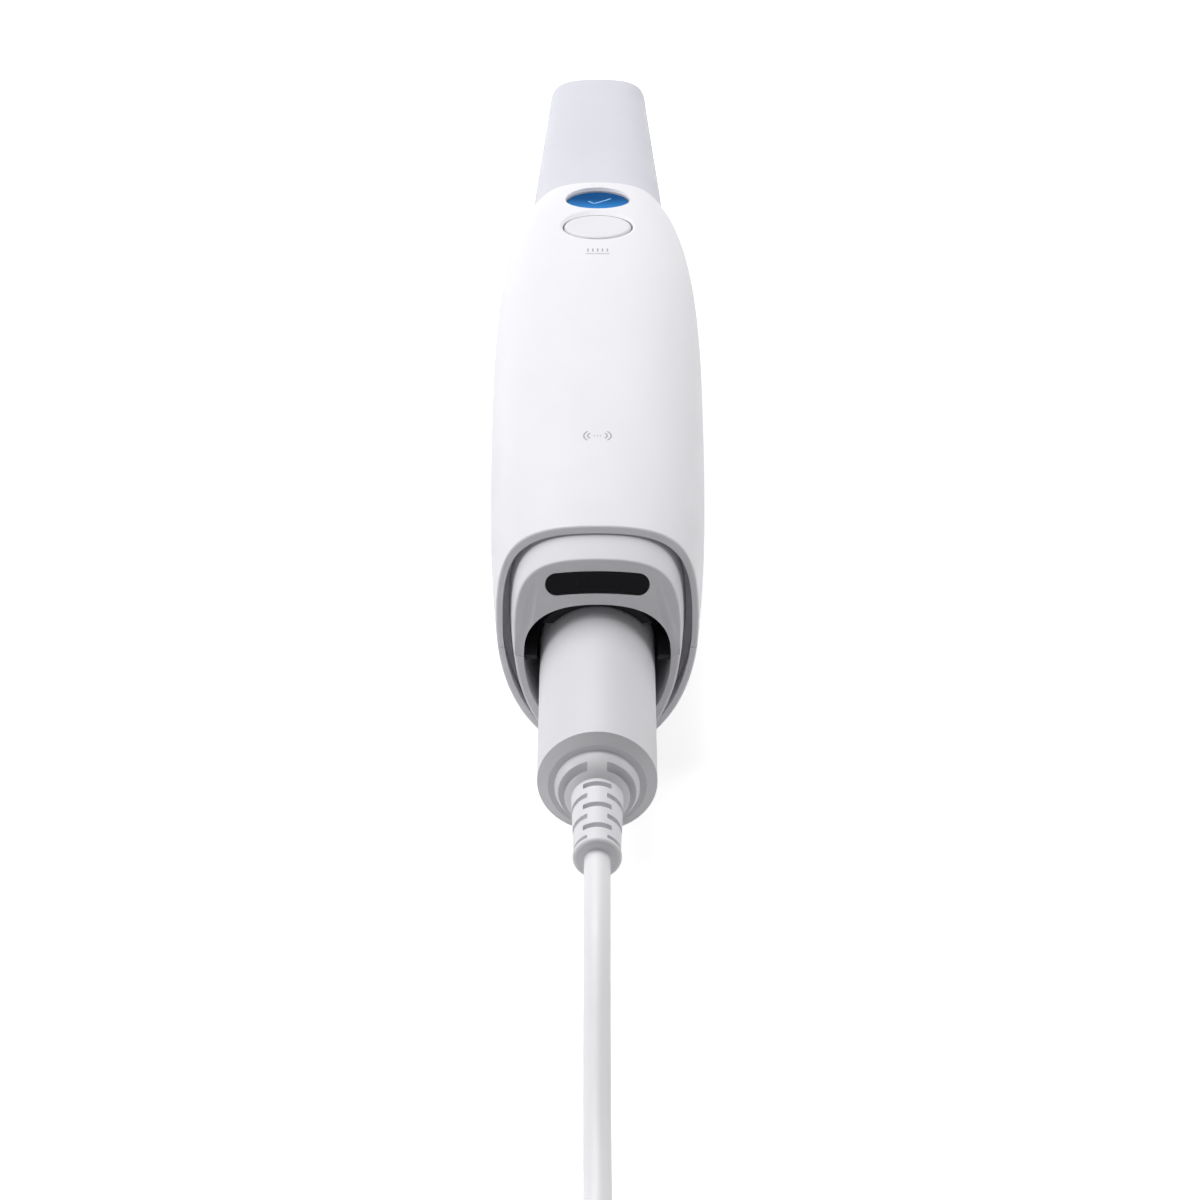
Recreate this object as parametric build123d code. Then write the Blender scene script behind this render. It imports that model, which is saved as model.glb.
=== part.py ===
from build123d import *
import os
from math import cos, pi, radians, sin, tan

# Handheld intraoral scanner with a pull-off tip and a plug-in cable.
# Millimetres. X runs across, +Y from the cable end to the tip, Z up.
# The belly's flat land lies on Z = 0, and the origin is under the middle of the length.
# Stations along the handle and the tip are given by s, the distance from the handle's rear end.

# Handle form
HANDLE_LENGTH = 176.0
HANDLE_WIDTH = 44.0
HANDLE_HEIGHT = 47.4
AXIS_HEIGHT = 24.5
FRONT_SIDE_STEP = 0.4
FRONT_TOP_STEP = 0.7
CROWN_SQUARENESS = 0.82
FRONT_SQUARENESS = 0.77
KEEL_ROUNDNESS = 0.58
# Each station is a share of the length, of the width and of the height, and a keel height.
HANDLE_STATIONS = (
    (-0.057, 0.800, 0.827, 1.6),
    (0.142, 0.925, 0.928, 0.3),
    (0.313, 0.980, 0.981, -0.4),
    (0.483, 1.000, 1.000, -0.6),
    (0.653, 1.000, 0.985, 0.2),
    (0.795, 0.958, 0.937, 2.8),
    (0.909, 0.858, 0.884, 6.4),
)

# Shell
WALL = 1.8
SEAM = 0.16
PARTING_HEIGHT = 21.0
TONGUE_HEIGHT = 1.5
FIT = 0.12
RIM_EDGE = 0.45
RIM_LIP = 1.25

# Slanted rear end
REAR_SLANT = 20.0
RIM_SETBACK = 13.05
GROOVE_WIDTH = 1.7
GROOVE_TOP = 0.3
GROOVE_DEPTH = 5.5
BEZEL_PROUD = 5.15
BEZEL_FRONT = 30.0
BEZEL_FLANGE = 3.2
BEZEL_EDGE = 0.55
BEZEL_SIDE_DRAFT = 0.1
BEZEL_TOP_DRAFT = 0.75
FLUTE_RADIUS = 3.0
FLUTE_DEPTH = 0.2
FLUTE_TOP = (11.3, 1.2)
FLUTE_FOOT = (13.2, -6.6)
GASKET_THICKNESS = 1.3

# Status window in the bezel
STATUS_LENGTH = 20.0
STATUS_HEIGHT = 4.4
STATUS_ARCH = 76.0
STATUS_DROP = 4.5
STATUS_DEPTH = 1.9
STATUS_LEDGE = 0.7
STATUS_BOARD_THICKNESS = 0.9

# Plug recess in the bezel
RECESS_HALF_WIDTH = 14.1
RECESS_WIDE_HEIGHT = 22.4
RECESS_TOP = 31.7
RECESS_BOTTOM = 6.3
RECESS_SHOULDER = 0.67
ELLIPSE = 0.5523

# Plug
PLUG_HEIGHT = 18.1
PLUG_DIAMETER = 22.2
PLUG_FRONT = 19.0
PLUG_REAR = -30.4
PLUG_CHAMFER_DEPTH = 1.4
PLUG_FLAT_DIAMETER = 18.2
PLUG_NOSE_ROUND = 1.2
PLUG_CORE_DIAMETER = 17.0
PLUG_CORE_LENGTH = 14.0
PLUG_CORE_PROUD = 6.0
PLUG_CLEARANCE = 0.3

# Socket in the recess
COLLAR_REAR = 13.2
COLLAR_WALL = 1.6
COLLAR_GAP_HEIGHT = 15.0
SOCKET_REAR = 20.0
SOCKET_FRONT = 28.0
SOCKET_FLOOR = 2.0
LEDGE_HEIGHT = 22.0
LEDGE_THICKNESS = 1.0
LEDGE_REAR = 7.5
LEDGE_CLEARANCE = 0.5
PIN_DIAMETER = 1.2
PIN_LENGTH = 5.0
PIN_PITCH = 3.4
PIN_COLUMNS = 4
PIN_ROWS = 3
PIN_CLEARANCE = 0.3
CONTACT_LENGTH = 2.0
SOCKET_BOARD_MARGIN = 1.2

# Strain relief and cable
RELIEF_FLANGE_DIAMETER = 15.7
RELIEF_FLANGE_THICKNESS = 0.6
RELIEF_FLARE_LENGTH = 4.4
RELIEF_FLARE_HOLLOW = 0.55
RELIEF_ROOT_DIAMETER = 9.6
RELIEF_END_DIAMETER = 8.5
RELIEF_BULGE_DIAMETER = 8.9
RELIEF_BULGE_LENGTH = 1.8
RELIEF_LENGTH = 23.0
RELIEF_SPIGOT_DIAMETER = 9.0
RELIEF_SPIGOT_LENGTH = 10.0
RELIEF_CORE_DIAMETER = 6.4
SLOT_PITCH = 3.05
SLOT_WIDTH = 1.35
SLOT_START = 2.9
SLOT_COUNT = 7
SLOT_WEB = 3.6
SLOT_SPAN = 5.2
CABLE_DIAMETER = 4.75

# Put-away coil, tie and host plug
COIL_MID_DIAMETER = 50.0
COIL_COLUMNS = 3
COIL_LAYERS = 4
COIL_CENTRE = (11.0, -317.0)
TIE_THICKNESS = 0.8
TIE_WIDTH = 8.0
TIE_CLEARANCE = 0.6
HOST_BODY_WIDTH = 12.4
HOST_BODY_THICKNESS = 6.6
HOST_BODY_LENGTH = 18.0
HOST_BODY_CORNER = 2.6
HOST_BODY_EDGE = 1.0
HOST_RELIEF_LENGTH = 9.0
HOST_RELIEF_DIAMETER = 6.2
HOST_SHELL_WIDTH = 8.3
HOST_SHELL_THICKNESS = 2.5
HOST_SHELL_LENGTH = 6.6
HOST_SHELL_WALL = 0.3

# Tip
TIP_LENGTH = 72.0
TIP_BASE_WIDTH = 29.6
TIP_BASE_HEIGHT = 28.4
TIP_END_WIDTH = 23.0
TIP_END_HEIGHT = 15.9
TIP_WALL = 1.5
TIP_SQUARENESS = 0.80
TIP_END_ROUND = 2.0
TIP_JOINT_GAP = 0.3
# Each station is a share of the length, and how far width and height have gone to the end's.
TIP_STATIONS = (
    (0.0, 0.0, 0.0),
    (0.139, 0.0, 0.25),
    (0.333, 0.20, 0.51),
    (0.611, 0.545, 0.735),
    (0.861, 0.85, 0.93),
    (1.0, 1.0, 1.0),
)
WINDOW_WIDTH = 16.0
WINDOW_LENGTH = 14.5
WINDOW_REACH = 20.5
WINDOW_CORNER = 2.0
MIRROR_REACH = 11.0
MIRROR_THICKNESS = 1.2
MIRROR_CLEARANCE = 0.25

# Nose that carries the tip
NOSE_LENGTH = 24.0
NOSE_CLEARANCE = 0.3
NOSE_WALL = 1.6
NOSE_ROOT = 3.6
NOSE_FLANGE = 1.5
NOSE_GLASS_THICKNESS = 1.6
NOSE_GLASS_LEDGE = 0.8
NOSE_GASKET = 1.3
NOSE_GASKET_SETBACK = 0.8

# Buttons
BUTTON_SETBACK = 21.8
CONTROL_OFFSET = -7.5
SCAN_OFFSET = 10.4
CONTROL_DIAMETER = 14.7
SCAN_DIAMETER = 13.4
BUTTON_GAP = 0.4
CONTROL_DISH_WIDTH = 1.8
CONTROL_DISH_DEPTH = 0.65
SCAN_DISH_WIDTH = 0.45
SCAN_DISH_DEPTH = 0.65
CONTROL_SINK = 0.4
SCAN_SINK = 1.15
CONTROL_EDGE = 0.7
SCAN_HOLLOW = 0.35
BUTTON_TRAVEL = 0.8
BUTTON_SKIRT = 3.6
BUTTON_EAR_LENGTH = 1.3
BUTTON_EAR_WIDTH = 4.0
BUTTON_EAR_TOP = 2.7
STEM_DIAMETER = 4.6
STEM_END = 3.9
SWITCH_SIZE = 4.6
SWITCH_HEIGHT = 1.5
PLUNGER_DIAMETER = 2.4
PLUNGER_HEIGHT = 0.5
BUTTON_BOARD_DEPTH = 6.9
BUTTON_BOARD_WIDTH = 23.4
BUTTON_BOARD_MARGIN = 1.3
POST_DIAMETER = 3.8
POST_REAR = -19.8
POST_PLACES = ((-5.0, POST_REAR), (5.0, POST_REAR), (-9.7, 0.0), (9.7, 0.0))
DIMPLE_SETBACK = 2.7
DIMPLE_RADIUS = 1.3
DIMPLE_LENGTH = 3.0
DIMPLE_DEPTH = 0.16

# Chassis, boards and optics
BOARD_THICKNESS = 1.2
TRAY_REAR = 42.0
TRAY_MARGIN = 1.0
TRAY_WIDTH = 24.0
TRAY_LEVEL = 11.0
TRAY_THICKNESS = 2.0
TRAY_FLANGE_INSET = 2.0
TRAY_FLANGE_CLEARANCE = 9.0
TRAY_FLANGE_HEIGHT = 6.0
TRAY_FLANGE_THICKNESS = 1.6
BOSS_DIAMETER = 6.0
BOSS_OFFSET = 8.0
BOSS_INSET = 8.0
BOSS_CLEARANCE = 5.0
SCREW_DIAMETER = 2.4
SCREW_HEAD_DIAMETER = 4.4
SCREW_HEAD_HEIGHT = 1.5
SCREW_DEPTH = 7.0
SCREW_CLEARANCE = 0.05
MAIN_BOARD_INSET = 14.0
MAIN_BOARD_CLEARANCE = 12.0
MAIN_BOARD_WIDTH = 19.0
STANDOFF_HEIGHT = 4.0
STANDOFF_DIAMETER = 4.4
STANDOFF_INSET = 3.2
PROCESSOR_SIZE = 10.0
CHIP_HEIGHT = 1.5
THERMAL_PAD_THICKNESS = 0.8
HEAT_SINK_WIDTH = 18.0
HEAT_SINK_MARGIN = 8.5
HEAT_SINK_BASE = 2.4
FIN_HEIGHT = 7.0
FIN_THICKNESS = 1.2
FIN_COUNT = 6
LENS_BLOCK_SETBACK = 36.0
LENS_BLOCK_LENGTH = 21.0
LENS_BLOCK_WIDTH = 32.0
LENS_BLOCK_TOP = 33.0
PROJECTOR_DIAMETER = 13.0
PROJECTOR_TAIL = 7.0
PROJECTOR_NOSE = 23.0
CAMERA_DIAMETER = 8.6
CAMERA_TAIL = 5.0
CAMERA_NOSE = 18.0
CAMERA_OFFSET = 11.2
BARREL_WALL = 1.0
LENS_THICKNESS = 3.0
LENS_CLEARANCE = 0.1
LIGHT_BOARD_SIZE = 13.0
LIGHT_SOURCE_SIZE = 5.0
CAMERA_BOARD_WIDTH = 8.4
CAMERA_BOARD_HEIGHT = 11.0

# Cutting blocks reach well past the whole part.
REACH = 800.0


def at(s):
    """Y of a station s millimetres ahead of the handle's rear end."""
    return s - (HANDLE_LENGTH + TIP_LENGTH) / 2


def outline(s, half_width, high, wide, low, upper, lower, inset=0.0, ends_inset=None):
    """Closed section across the body, shrunk by inset, or by ends_inset at its top and bottom."""
    y = at(s)
    a = half_width - inset
    at_ends = inset if ends_inset is None else ends_inset
    top = high - at_ends
    bottom = low + at_ends
    rise = top - wide
    fall = wide - bottom
    quarters = (
        Bezier((0, y, top), (upper * a, y, top), (a, y, wide + upper * rise), (a, y, wide)),
        Bezier((a, y, wide), (a, y, wide - lower * fall), (lower * a, y, bottom), (0, y, bottom)),
        Bezier((0, y, bottom), (-lower * a, y, bottom), (-a, y, wide - lower * fall), (-a, y, wide)),
        Bezier((-a, y, wide), (-a, y, wide + upper * rise), (-upper * a, y, top), (0, y, top)),
    )
    return Face(Wire(quarters))


def handle_body(inset=0.0, ends_inset=None):
    """Solid of the handle's outer form, shrunk by inset, or by ends_inset at its top and bottom."""
    sections = []
    for along, across, up, keel in HANDLE_STATIONS:
        lower = KEEL_ROUNDNESS + (TIP_SQUARENESS - KEEL_ROUNDNESS) * max(along, 0.0) ** 2
        sections.append(outline(along * HANDLE_LENGTH, across * HANDLE_WIDTH / 2, up * HANDLE_HEIGHT,
                                AXIS_HEIGHT, keel, CROWN_SQUARENESS, lower, inset, ends_inset))
    front_half_height = TIP_BASE_HEIGHT / 2 + FRONT_TOP_STEP
    front_half_width = TIP_BASE_WIDTH / 2 + FRONT_SIDE_STEP
    sections.append(outline(HANDLE_LENGTH, front_half_width, AXIS_HEIGHT + front_half_height, AXIS_HEIGHT,
                            AXIS_HEIGHT - front_half_height, FRONT_SQUARENESS, TIP_SQUARENESS,
                            inset, ends_inset))
    return loft(sections)


def tip_section(along, width_gone, height_gone, inset):
    """Section of the tip at a share of its length."""
    half_width = (TIP_BASE_WIDTH + (TIP_END_WIDTH - TIP_BASE_WIDTH) * width_gone) / 2
    half_height = (TIP_BASE_HEIGHT + (TIP_END_HEIGHT - TIP_BASE_HEIGHT) * height_gone) / 2
    return outline(HANDLE_LENGTH + along * TIP_LENGTH, half_width, AXIS_HEIGHT + half_height, AXIS_HEIGHT,
                   AXIS_HEIGHT - half_height, TIP_SQUARENESS, TIP_SQUARENESS, inset)


def tip_body(inset=0.0):
    """Solid of the tip's outer form, shrunk by inset."""
    return loft([tip_section(*station, inset) for station in TIP_STATIONS])


def recess_filler(start, end, margin):
    """Solid of the plug recess between two stations, clear of its wall by a margin."""
    face = outline(start, RECESS_HALF_WIDTH, RECESS_TOP, RECESS_WIDE_HEIGHT, RECESS_BOTTOM,
                   RECESS_SHOULDER, ELLIPSE, margin)
    return extrude(face, end - start, dir=(0, 1, 0))


def slab(start, end):
    """Everything between two stations."""
    return Pos(0, (at(start) + at(end)) / 2, 0) * Box(REACH, end - start, REACH)


def level(low, high):
    """Everything between two heights."""
    return Pos(0, 0, (low + high) / 2) * Box(REACH, REACH, high - low)


def block(x_span, s_span, z_span):
    """Plain block between two places on each axis."""
    size = [x_span[1] - x_span[0], s_span[1] - s_span[0], z_span[1] - z_span[0]]
    middle = Pos(sum(x_span) / 2, (at(s_span[0]) + at(s_span[1])) / 2, sum(z_span) / 2)
    return middle * Box(*size)


def post(x, s, low, high, diameter):
    """Upright round post."""
    return Pos(x, at(s), low) * Cylinder(diameter / 2, high - low, align=STAND)


def lengthwise(x, z, start, end, diameter):
    """Round bar along the handle."""
    frame = Plane(origin=(x, at(start), z), x_dir=(1, 0, 0), z_dir=(0, 1, 0))
    return frame.location * Cylinder(diameter / 2, end - start, align=STAND)


STAND = (Align.CENTER, Align.CENTER, Align.MIN)
HANG = (Align.CENTER, Align.CENTER, Align.MAX)
slant = radians(REAR_SLANT)
rear_plane = Plane(origin=(0, at(RIM_SETBACK), AXIS_HEIGHT), x_dir=(1, 0, 0),
                   z_dir=(0, -cos(slant), sin(slant)))
plug_plane = Plane(origin=(0, at(PLUG_REAR), PLUG_HEIGHT), x_dir=(1, 0, 0), z_dir=(0, -1, 0))
mirror_plane = Plane(origin=(0, at(HANDLE_LENGTH + TIP_LENGTH - MIRROR_REACH), AXIS_HEIGHT),
                     x_dir=(1, 0, 0), z_dir=(0, -1, -1))
parts = {}


def behind(plane, low, high):
    """Everything between two distances along a plane's normal."""
    return plane.location * Pos(0, 0, (low + high) / 2) * Box(REACH, REACH, high - low)


def edges_on(plane, shape, distance):
    """Edges that lie at one distance along a plane's normal."""
    return [edge for edge in shape.edges()
            if all(abs(plane.to_local_coords(edge.position_at(t)).Z - distance) < 0.01 for t in (0, 0.5, 1))]


# Handle skin: the lofted form, cut on the slant, flat under the belly, with a soft rim edge on a thin lip.
form = handle_body()
skin = form & behind(rear_plane, -REACH / 2, 0) & level(0, REACH / 2)
skin = fillet(edges_on(rear_plane, skin, 0), RIM_EDGE)
hollow = handle_body(WALL)
rebate = handle_body(RIM_LIP) & behind(rear_plane, -GROOVE_DEPTH, REACH / 2)
wall = skin - hollow - rebate


def crown_hit(s):
    """Point and normal of the crown above a station."""
    probe = Axis((0.01, at(s), 2 * HANDLE_HEIGHT), (0, 0, -1))
    hits = [hit for face in form.faces() for hit in face.find_intersection_points(probe)]
    return max(hits, key=lambda hit: hit[0].Z)


def crown_plane(s):
    """Plane that touches the crown at a station, its Y axis towards the tip."""
    point, normal = crown_hit(s)
    return Plane(origin=(0, point.Y, point.Z), x_dir=(1, 0, 0), z_dir=(0, normal.Y, normal.Z))


# Buttons share one plane, square to the crown between them.
button_middle = HANDLE_LENGTH - BUTTON_SETBACK
button_plane = crown_plane(button_middle)


def under_crown(x, y, depth):
    """Place at a depth below the button plane."""
    return button_plane.location * Pos(x, y, -depth)


def button_opening(offset, diameter, dish_width, dish_depth):
    """Hole that a button travels in, with a dish round it that follows the crown."""
    hole = diameter / 2 + BUTTON_GAP
    crown = crown_plane(button_middle + offset)
    cone = Cone(hole - dish_width, hole + 2 * dish_width, 3 * dish_depth, align=STAND)
    dish = crown.location * Pos(0, 0, -2 * dish_depth) * cone
    bore = under_crown(0, offset, BUTTON_EAR_TOP + WALL) * Cylinder(hole, BUTTON_EAR_TOP + WALL, align=STAND)
    return dish + bore


def button(offset, diameter, sink):
    """Button cap with two retaining ears and a stem."""
    cap = under_crown(0, offset, sink) * Cylinder(diameter / 2, BUTTON_SKIRT - sink, align=HANG)
    ears = under_crown(0, offset, BUTTON_EAR_TOP) * Box(diameter + 2 * BUTTON_EAR_LENGTH, BUTTON_EAR_WIDTH,
                                                        BUTTON_SKIRT - BUTTON_EAR_TOP, align=HANG)
    stem = Cylinder(STEM_DIAMETER / 2, STEM_END - BUTTON_SKIRT, align=HANG)
    stem = under_crown(0, offset, BUTTON_SKIRT) * stem
    return cap + ears + stem


control_button = button(CONTROL_OFFSET, CONTROL_DIAMETER, CONTROL_SINK)
control_button = fillet(edges_on(button_plane, control_button, -CONTROL_SINK), CONTROL_EDGE)
scan_button = button(SCAN_OFFSET, SCAN_DIAMETER, SCAN_SINK)
hollow_radius = ((SCAN_DIAMETER / 2) ** 2 + SCAN_HOLLOW ** 2) / (2 * SCAN_HOLLOW)
scan_button -= under_crown(0, SCAN_OFFSET, SCAN_SINK + SCAN_HOLLOW - hollow_radius) * Sphere(hollow_radius)
parts["control_button"] = control_button
parts["scan_button"] = scan_button

# Two shells meet at a tongue inside the seam.
upper_shell = wall & level(PARTING_HEIGHT + SEAM / 2, REACH / 2)
tongue_slot = handle_body(WALL / 2) & level(PARTING_HEIGHT, PARTING_HEIGHT + TONGUE_HEIGHT + FIT)
upper_shell -= tongue_slot & behind(rear_plane, -REACH / 2, -GROOVE_DEPTH)
upper_shell -= button_opening(CONTROL_OFFSET, CONTROL_DIAMETER, CONTROL_DISH_WIDTH, CONTROL_DISH_DEPTH)
upper_shell -= button_opening(SCAN_OFFSET, SCAN_DIAMETER, SCAN_DISH_WIDTH, SCAN_DISH_DEPTH)
dimple_place = crown_plane(HANDLE_LENGTH - DIMPLE_SETBACK).location * Pos(0, 0, DIMPLE_RADIUS - DIMPLE_DEPTH)
upper_shell -= dimple_place * Rot(0, 90, 0) * Cylinder(DIMPLE_RADIUS, DIMPLE_LENGTH)
for x, y in POST_PLACES:
    foot = under_crown(x, y, BUTTON_BOARD_DEPTH)
    pillar = foot * Cylinder(POST_DIAMETER / 2, BUTTON_BOARD_DEPTH, align=STAND)
    upper_shell += pillar & handle_body(WALL / 2)
parts["upper_shell"] = upper_shell

tongue = (handle_body(WALL / 2 + FIT) - hollow) & level(PARTING_HEIGHT - WALL, PARTING_HEIGHT + TONGUE_HEIGHT)
tongue &= behind(rear_plane, -REACH / 2, -GROOVE_DEPTH - FIT)
lower_shell = (wall & level(-WALL, PARTING_HEIGHT - SEAM / 2)) + tongue
block_front = HANDLE_LENGTH - LENS_BLOCK_SETBACK
block_rear = block_front - LENS_BLOCK_LENGTH
boss_places = [(x, s) for s in (TRAY_REAR + BOSS_INSET, block_rear - BOSS_CLEARANCE)
               for x in (-BOSS_OFFSET, BOSS_OFFSET)]
for x, s in boss_places:
    boss = post(x, s, 0, TRAY_LEVEL, BOSS_DIAMETER) & handle_body(WALL / 2)
    lower_shell += boss
    lower_shell -= post(x, s, TRAY_LEVEL - SCREW_DEPTH, TRAY_LEVEL, SCREW_DIAMETER + 2 * SCREW_CLEARANCE)
parts["lower_shell"] = lower_shell

# Rear bezel: proud of the rim, with a plug recess and a status window.
core_inset = RIM_LIP + GROOVE_WIDTH
core_ends = RIM_LIP + GROOVE_TOP
core_form = handle_body(core_inset, core_ends)
drafted_form = handle_body(core_inset + BEZEL_SIDE_DRAFT, core_ends + BEZEL_TOP_DRAFT)
end_place = rear_plane.offset(BEZEL_PROUD)
end_face = section(drafted_form, section_by=end_place).face()
bezel_top = rear_plane.to_local_coords(end_face).bounding_box().max.Y
bezel = loft([section(core_form, section_by=rear_plane).face(), end_face])
bezel = fillet(edges_on(rear_plane, bezel, BEZEL_PROUD), BEZEL_EDGE)
fitted_form = handle_body(WALL + FIT)
bezel += core_form & behind(rear_plane, -GROOVE_DEPTH, 0)
bezel += fitted_form & behind(rear_plane, -GROOVE_DEPTH - BEZEL_FLANGE, -GROOVE_DEPTH)
throat = handle_body(core_inset) & slab(-REACH / 4, BEZEL_FRONT)
bezel += throat & behind(rear_plane, -REACH / 2, -GROOVE_DEPTH)
recess = recess_filler(-BEZEL_FRONT, 2 * BEZEL_FRONT, 0)
status_place = rear_plane.location * Pos(0, bezel_top - STATUS_DROP, BEZEL_PROUD)


def pill(length, height, depth):
    """Arched pill that runs into the bezel from its end face."""
    half_turn = (length - height) / 2 / STATUS_ARCH * 180 / pi
    arc = CenterArc((0, -STATUS_ARCH), STATUS_ARCH, 90 - half_turn, 2 * half_turn)
    return status_place * extrude(SlotArc(arc, height), -depth)


window_pill = pill(STATUS_LENGTH - 2 * FIT, STATUS_HEIGHT - 2 * FIT, STATUS_DEPTH)
ledge_length = STATUS_LENGTH - 2 * STATUS_LEDGE
ledge_height = STATUS_HEIGHT - 2 * STATUS_LEDGE
light_depth = STATUS_DEPTH + STATUS_BOARD_THICKNESS
bezel = bezel - recess - pill(STATUS_LENGTH, STATUS_HEIGHT, STATUS_DEPTH)
for side in (-1, 1):
    top = Vector(side * FLUTE_TOP[0], FLUTE_TOP[1], FLUTE_RADIUS)
    foot = Vector(side * FLUTE_FOOT[0], FLUTE_FOOT[1], FLUTE_RADIUS - FLUTE_DEPTH)
    flute = Plane(origin=top, z_dir=foot - top)
    bezel -= status_place * flute.location * Cylinder(FLUTE_RADIUS, 2 * (foot - top).length, align=STAND)
parts["rear_bezel"] = bezel - pill(ledge_length, ledge_height, light_depth)
parts["status_window"] = window_pill & behind(rear_plane, -REACH / 2, BEZEL_PROUD - FIT)
light_pill = pill(ledge_length - 2 * FIT, ledge_height - 2 * FIT, light_depth)
parts["status_board"] = light_pill & behind(rear_plane, -REACH / 2, BEZEL_PROUD - STATUS_DEPTH)
gasket_ring = handle_body(RIM_LIP + FIT) - handle_body(core_inset - FIT, core_ends - FIT)
parts["rear_gasket"] = gasket_ring & behind(rear_plane, -GROOVE_DEPTH, GASKET_THICKNESS - GROOVE_DEPTH)


# Socket: a base that fills the recess, a split collar round the plug and two side ledges.
base = recess_filler(SOCKET_REAR, SOCKET_FRONT, FIT)
plug_hole = PLUG_DIAMETER / 2 + PLUG_CLEARANCE
collar = lengthwise(0, PLUG_HEIGHT, COLLAR_REAR, SOCKET_REAR, 2 * (plug_hole + COLLAR_WALL))
collar -= Pos(0, 0, PLUG_HEIGHT) * Box(REACH, REACH, COLLAR_GAP_HEIGHT)
ledge_inner = PLUG_DIAMETER / 2 + LEDGE_CLEARANCE
ledges = [block((x, x + RECESS_HALF_WIDTH - ledge_inner), (LEDGE_REAR, SOCKET_REAR),
                (LEDGE_HEIGHT - LEDGE_THICKNESS, LEDGE_HEIGHT)) for x in (-RECESS_HALF_WIDTH, ledge_inner)]
socket = base + ((collar + ledges[0] + ledges[1]) & recess_filler(0, SOCKET_REAR, FIT))
socket -= lengthwise(0, PLUG_HEIGHT, 0, SOCKET_REAR, 2 * plug_hole)
core_hole = PLUG_CORE_DIAMETER / 2 + PLUG_CLEARANCE
socket -= lengthwise(0, PLUG_HEIGHT, 0, SOCKET_FRONT - SOCKET_FLOOR, 2 * core_hole)
parts["connector_socket"] = socket
first_column = -(PIN_COLUMNS - 1) / 2 * PIN_PITCH
first_row = PLUG_HEIGHT - (PIN_ROWS - 1) / 2 * PIN_PITCH
pin_places = [(first_column + column * PIN_PITCH, first_row + row * PIN_PITCH)
              for column in range(PIN_COLUMNS) for row in range(PIN_ROWS)]
pin_end = SOCKET_FRONT - SOCKET_FLOOR
parts["socket_pins"] = Compound(children=[lengthwise(x, z, pin_end - PIN_LENGTH, pin_end, PIN_DIAMETER)
                                          for x, z in pin_places])
parts["socket_board"] = recess_filler(SOCKET_FRONT, SOCKET_FRONT + BOARD_THICKNESS, SOCKET_BOARD_MARGIN)

# Plug with its core and contacts. Heights in the plug's own frame run back from its rear face.
plug_length = PLUG_FRONT - PLUG_REAR
plug = plug_plane.location * Cylinder(PLUG_DIAMETER / 2, plug_length, align=HANG)
chamfer_width = (PLUG_DIAMETER - PLUG_FLAT_DIAMETER) / 2
rear_edge = edges_on(plug_plane, plug, 0)
plug = chamfer(rear_edge, PLUG_CHAMFER_DEPTH, chamfer_width, reference=plug.faces().sort_by(Axis.Y)[1])
plug = fillet(edges_on(plug_plane, plug, -plug_length), PLUG_NOSE_ROUND)
core_seat = PLUG_CORE_LENGTH - PLUG_CORE_PROUD
plug -= lengthwise(0, PLUG_HEIGHT, PLUG_FRONT - core_seat, PLUG_FRONT, PLUG_CORE_DIAMETER + 2 * FIT)
spigot_hole = Cylinder(RELIEF_SPIGOT_DIAMETER / 2 + FIT, RELIEF_SPIGOT_LENGTH + FIT, align=HANG)
plug -= plug_plane.location * spigot_hole
parts["plug_body"] = plug
core_end = PLUG_FRONT + PLUG_CORE_PROUD
plug_core = lengthwise(0, PLUG_HEIGHT, PLUG_FRONT - core_seat, core_end, PLUG_CORE_DIAMETER)
contact_depth = pin_end - PIN_LENGTH - PIN_CLEARANCE
contacts = []
for x, z in pin_places:
    plug_core -= lengthwise(x, z, contact_depth - CONTACT_LENGTH, core_end, PIN_DIAMETER + 2 * PIN_CLEARANCE)
    contact = lengthwise(x, z, contact_depth - CONTACT_LENGTH, contact_depth, PIN_DIAMETER + PIN_CLEARANCE)
    contacts.append(contact)
parts["plug_core"] = plug_core
parts["plug_contacts"] = Compound(children=contacts)


def relief_slot(distance, sideways):
    """Pair of slots across the strain relief, at its sides or over and under its middle."""
    ring = Cylinder(RELIEF_ROOT_DIAMETER, SLOT_WIDTH) - Cylinder(RELIEF_CORE_DIAMETER / 2, SLOT_WIDTH)
    if sideways:
        ring -= Box(SLOT_WEB, REACH, SLOT_WIDTH)
    else:
        ring &= Box(SLOT_SPAN, REACH, SLOT_WIDTH)
    return plug_plane.location * Pos(0, 0, distance) * ring


def relief_profile():
    """Half section of the strain relief outside the plug: flange, hollow flare, taper and end bead."""
    edge = (RELIEF_FLANGE_DIAMETER / 2, RELIEF_FLANGE_THICKNESS)
    root = (RELIEF_ROOT_DIAMETER / 2, RELIEF_FLARE_LENGTH)
    neck = (RELIEF_END_DIAMETER / 2, RELIEF_LENGTH - RELIEF_BULGE_LENGTH)
    bead = (RELIEF_BULGE_DIAMETER / 2, RELIEF_LENGTH - RELIEF_BULGE_LENGTH)
    shoulder = (RELIEF_BULGE_DIAMETER / 2, RELIEF_LENGTH - RELIEF_BULGE_LENGTH / 2)
    mouth = ((RELIEF_BULGE_DIAMETER - RELIEF_BULGE_LENGTH) / 2, RELIEF_LENGTH)
    flare = SagittaArc(edge, root, -RELIEF_FLARE_HOLLOW)
    nose = RadiusArc(shoulder, mouth, -RELIEF_BULGE_LENGTH / 2)
    outside = Polyline((0, 0), (edge[0], 0), edge) + flare + Polyline(root, neck, bead, shoulder)
    return make_face(outside + nose + Polyline(mouth, (0, RELIEF_LENGTH), (0, 0)))


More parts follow.
